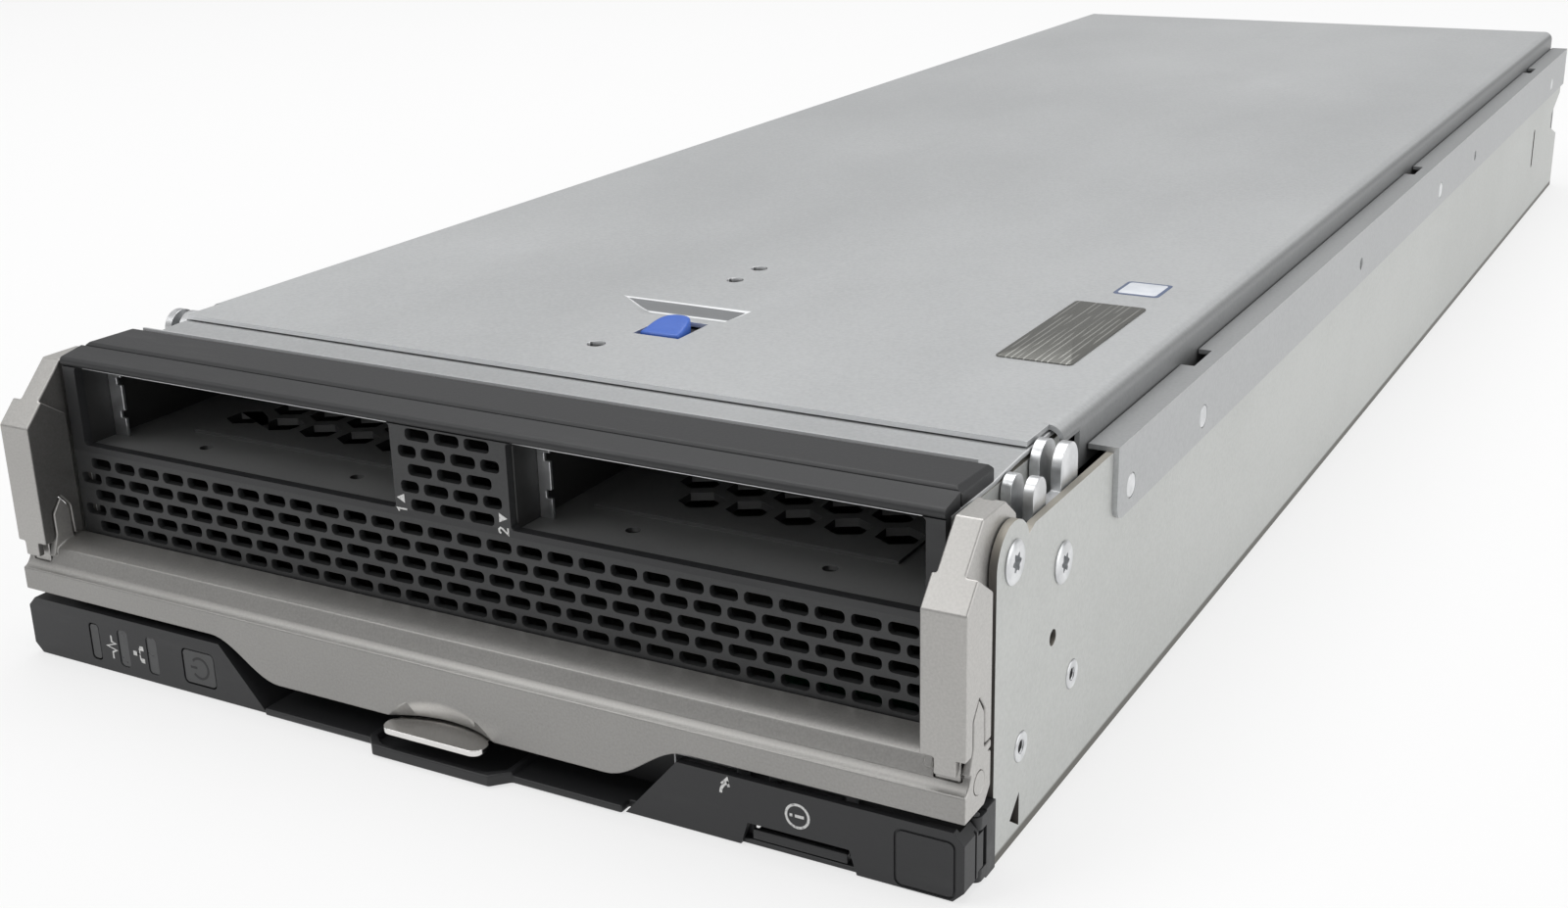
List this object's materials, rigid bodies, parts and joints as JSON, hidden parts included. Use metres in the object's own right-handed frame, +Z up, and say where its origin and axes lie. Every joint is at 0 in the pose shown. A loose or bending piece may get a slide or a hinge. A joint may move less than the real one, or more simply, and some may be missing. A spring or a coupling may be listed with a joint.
{
  "type": "blade server",
  "caption": "Half-height blade server with front drive bays, perforated vent, swing-out handle that works ejector forks, sliding cover and blind-mate rear connectors.",
  "frame": {"origin": "middle of the footprint, on the underside of the tray", "axes": "+X to the right seen from the front, +Y to the back, +Z up"},
  "size_m": [0.2146, 0.6176, 0.0654],
  "materials": {
    "zinc_steel": "satin zinc-plated sheet",
    "charcoal_plastic": "satin moulded",
    "grille_grey": "satin painted",
    "button_grey": "satin moulded",
    "clear_plastic": "clear moulded",
    "circuit_board": "solder mask",
    "cast_silver": "satin metallic paint",
    "bright_steel": "bright zinc-plated",
    "chrome": "polished",
    "blue_plastic": "satin moulded",
    "black_plastic": "moulded",
    "aluminium": "extruded"
  },
  "bodies": {
    "chassis": {"base_tray": "zinc_steel", "side_wall_left": "zinc_steel", "side_wall_right": "zinc_steel", "rail_left": "zinc_steel", "rail_right": "zinc_steel", "rear_wall": "zinc_steel", "front_deck": "zinc_steel", "top_trim": "charcoal_plastic", "bezel": "charcoal_plastic", "vent_grille": "grille_grey", "divider_grille": "grille_grey", "lower_beam": "charcoal_plastic", "lower_lip": "charcoal_plastic", "control_panel": "charcoal_plastic", "light_pipes": "clear_plastic", "control_board": "circuit_board", "port_board": "circuit_board", "port_shells": "zinc_steel", "pivot_screws": "bright_steel", "pocket_plates": "zinc_steel", "press_nuts": "bright_steel", "rail_rivets": "bright_steel", "door_pin": "bright_steel", "latch_keeper": "zinc_steel", "drive_cage": "zinc_steel", "cage_shelves": "zinc_steel", "bay_strips": "bright_steel", "drive_backplane": "circuit_board", "drive_connectors": "black_plastic", "system_board": "circuit_board", "board_fixings": "bright_steel", "board_connectors": "black_plastic", "processor_sockets": "black_plastic", "processors": "aluminium", "heatsinks": "aluminium", "memory_sockets": "black_plastic", "memory_modules": "circuit_board", "air_baffles": "charcoal_plastic", "mezzanine_card": "circuit_board", "rear_connectors": "black_plastic", "guide_sockets": "bright_steel"},
    "handle": {"handle_bar": "cast_silver", "handle_arm_left": "cast_silver", "handle_arm_right": "cast_silver", "handle_pins": "bright_steel"},
    "thumb_tab": {"thumb_tab": "chrome"},
    "ejector_left": {"ejector_left": "chrome"},
    "ejector_right": {"ejector_right": "chrome"},
    "link_left": {"drive_link_left": "bright_steel"},
    "link_right": {"drive_link_right": "bright_steel"},
    "cover": {"access_cover": "zinc_steel", "cover_shoulders": "zinc_steel", "cover_flanges": "zinc_steel", "cover_hooks": "zinc_steel"},
    "cover_button": {"cover_button": "blue_plastic"},
    "locator_button": {"locator_button": "button_grey"},
    "power_button": {"power_button": "button_grey"},
    "port_door": {"port_door": "charcoal_plastic"},
    "info_tab": {"info_tab": "charcoal_plastic"}
  },
  "joints": [
    {"name": "handle_swing", "type": "hinge", "parent": "chassis", "child": "handle", "pos_m": [0, -0.28515, 0.0524], "axis": [-1, 0, 0], "range_deg": [0, 64]},
    {"name": "thumb_tab_squeeze", "type": "hinge", "parent": "handle", "child": "thumb_tab", "pos_m": [0.0015, -0.29875, 0.018], "axis": [1, 0, 0], "range_deg": [0, 8], "stiffness_Nm_per_rad": 0.05, "springref_deg": -28.65},
    {"name": "ejector_left_turn", "type": "hinge", "parent": "chassis", "child": "ejector_left", "pos_m": [-0.10165, -0.26315, 0.044], "axis": [-1, 0, 0], "range_deg": [0, 32]},
    {"name": "ejector_right_turn", "type": "hinge", "parent": "chassis", "child": "ejector_right", "pos_m": [0.10165, -0.26315, 0.044], "axis": [-1, 0, 0], "range_deg": [0, 32]},
    {"name": "link_left_turn", "type": "hinge", "parent": "handle", "child": "link_left", "pos_m": [-0.10165, -0.28197, 0.04731], "axis": [-1, 0, 0], "range_deg": [-64, 0]},
    {"name": "link_right_turn", "type": "hinge", "parent": "handle", "child": "link_right", "pos_m": [0.10165, -0.28197, 0.04731], "axis": [-1, 0, 0], "range_deg": [-64, 0]},
    {"name": "cover_slide", "type": "slide", "parent": "chassis", "child": "cover", "axis": [0, 1, 0], "range_m": [0, 0.014]},
    {"name": "cover_button_press", "type": "slide", "parent": "cover", "child": "cover_button", "axis": [0, 0, -1], "range_m": [0, 0.0025], "stiffness_N_per_m": 400, "springref_m": -0.002},
    {"name": "locator_button_press", "type": "slide", "parent": "chassis", "child": "locator_button", "axis": [0, 1, 0], "range_m": [0, 0.001], "stiffness_N_per_m": 400, "springref_m": -0.002},
    {"name": "power_button_press", "type": "slide", "parent": "chassis", "child": "power_button", "axis": [0, 1, 0], "range_m": [0, 0.001], "stiffness_N_per_m": 400, "springref_m": -0.002},
    {"name": "port_door_swing", "type": "hinge", "parent": "chassis", "child": "port_door", "pos_m": [0.1054, -0.29755, 0.00675], "axis": [0, 0, 1], "range_deg": [0, 95]},
    {"name": "info_tab_slide", "type": "slide", "parent": "chassis", "child": "info_tab", "axis": [0, -1, 0], "range_m": [0, 0.045]}
  ],
  "couplings": [
    {"joint": "ejector_left_turn", "follows": "handle_swing", "ratio": 0.5},
    {"joint": "ejector_right_turn", "follows": "handle_swing", "ratio": 0.5},
    {"joint": "link_left_turn", "follows": "handle_swing", "ratio": -1},
    {"joint": "link_right_turn", "follows": "handle_swing", "ratio": -1}
  ]
}
